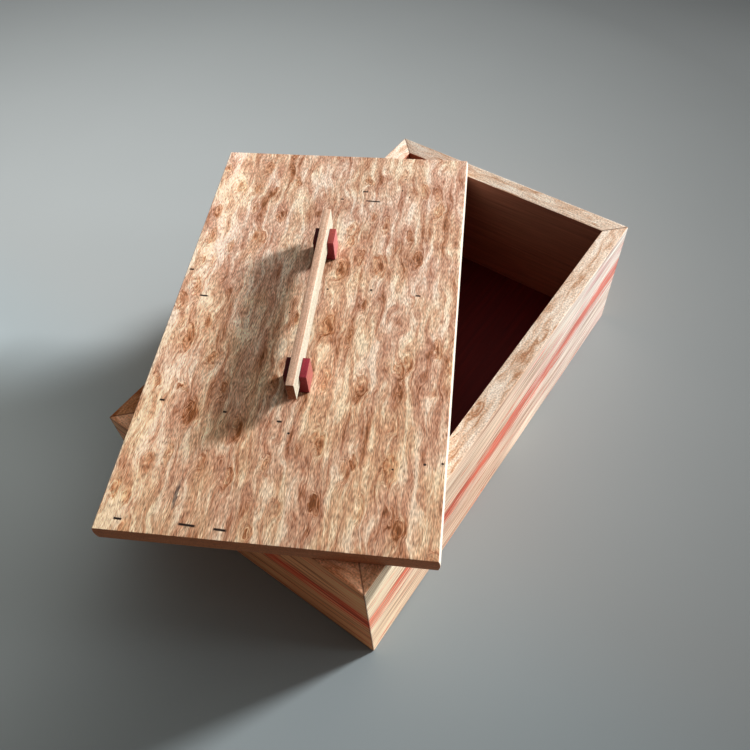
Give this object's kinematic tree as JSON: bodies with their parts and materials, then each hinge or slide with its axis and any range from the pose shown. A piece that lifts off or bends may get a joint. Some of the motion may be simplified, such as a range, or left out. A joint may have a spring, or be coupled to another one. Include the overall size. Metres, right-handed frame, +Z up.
{
  "type": "wooden memory box",
  "caption": "Mitred wooden keepsake box with a loose flat lid lying askew on its rim, lifted by a slim bar handle let into two posts.",
  "frame": {"origin": "middle of the base panel's underside, on the ground", "axes": "+X along the box's long side towards the end that the lid leaves open, +Y across it towards the far long wall, +Z up"},
  "size_m": [0.4121, 0.3446, 0.1461],
  "materials": {
    "wall_timber": "satin, cream to salmon stripes along the board",
    "base_timber": "matt reddish brown",
    "lid_timber": "satin, burl figure",
    "bar_timber": "satin, pale straight grain",
    "post_timber": "satin, deep red",
    "screw_steel": "dull zinc plate"
  },
  "bodies": {
    "box": {"wall_long_front": "wall_timber", "wall_short_right": "wall_timber", "wall_long_back": "wall_timber", "wall_short_left": "wall_timber", "base_panel": "base_timber"},
    "lid": {"lid_panel": "lid_timber", "handle_bar": "bar_timber", "handle_post_near": "post_timber", "handle_post_far": "post_timber", "post_screw_near": "screw_steel", "post_screw_far": "screw_steel"}
  },
  "joints": [
    {"name": "lid_lift", "type": "slide", "parent": "box", "child": "lid", "axis": [0, 0, 1], "range_m": [0, 0.15]}
  ]
}
